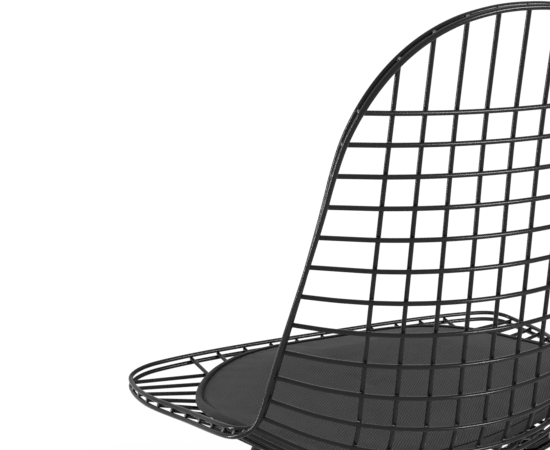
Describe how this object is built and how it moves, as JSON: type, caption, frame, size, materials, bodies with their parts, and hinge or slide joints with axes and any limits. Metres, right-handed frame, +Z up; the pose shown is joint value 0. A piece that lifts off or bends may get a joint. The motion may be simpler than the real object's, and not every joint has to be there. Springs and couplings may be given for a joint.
{
  "type": "wire shell dining chair",
  "caption": "Dining chair with a bucket shell of welded black steel wire, a thin dark woven seat pad and a cross-braced rod base on floor glides.",
  "frame": {"origin": "on the floor, in the middle of the footprint", "axes": "+Z up, the sitter looks along -Y, +X is the sitter's left"},
  "size_m": [0.4868, 0.473, 0.8415],
  "materials": {
    "shell_wire": "satin black powder coat",
    "base_rod": "satin black powder coat",
    "mount_plate": "satin black powder coat",
    "mount_rubber": "matte",
    "bolt_steel": "black zinc",
    "glide_plastic": "fine moulded grain",
    "pad_binding": "woven binding",
    "pad_fabric": "fine twill weave"
  },
  "bodies": {
    "root": {"brace_front_1": "base_rod", "brace_front_2": "base_rod", "brace_left_1": "base_rod", "brace_left_2": "base_rod", "brace_rear_1": "base_rod", "brace_rear_2": "base_rod", "brace_right_1": "base_rod", "brace_right_2": "base_rod", "cross_wire_01": "shell_wire", "cross_wire_02": "shell_wire", "cross_wire_03": "shell_wire", "cross_wire_04": "shell_wire", "cross_wire_05": "shell_wire", "cross_wire_06": "shell_wire", "cross_wire_07": "shell_wire", "cross_wire_08": "shell_wire", "cross_wire_09": "shell_wire", "cross_wire_10": "shell_wire", "cross_wire_11": "shell_wire", "cross_wire_12": "shell_wire", "cross_wire_13": "shell_wire", "cross_wire_14": "shell_wire", "cross_wire_15": "shell_wire", "cross_wire_16": "shell_wire", "cross_wire_17": "shell_wire", "cross_wire_18": "shell_wire", "cross_wire_19": "shell_wire", "cross_wire_20": "shell_wire", "cross_wire_21": "shell_wire", "cross_wire_22": "shell_wire", "cross_wire_23": "shell_wire", "cross_wire_24": "shell_wire", "cross_wire_25": "shell_wire", "foot_glides": "glide_plastic", "leg_front_left": "base_rod", "leg_front_right": "base_rod", "leg_rear_left": "base_rod", "leg_rear_right": "base_rod", "leg_tabs": "mount_plate", "long_wire_center": "shell_wire", "long_wire_left_1": "shell_wire", "long_wire_left_2": "shell_wire", "long_wire_left_3": "shell_wire", "long_wire_left_4": "shell_wire", "long_wire_left_5": "shell_wire", "long_wire_right_1": "shell_wire", "long_wire_right_2": "shell_wire", "long_wire_right_3": "shell_wire", "long_wire_right_4": "shell_wire", "long_wire_right_5": "shell_wire", "mount_bolts": "bolt_steel", "mount_washers": "mount_rubber", "pad_border": "pad_binding", "pad_cushion": "pad_fabric", "rim_lower": "shell_wire", "rim_upper": "shell_wire", "shell_mount_plates": "mount_plate"}
  },
  "joints": []
}
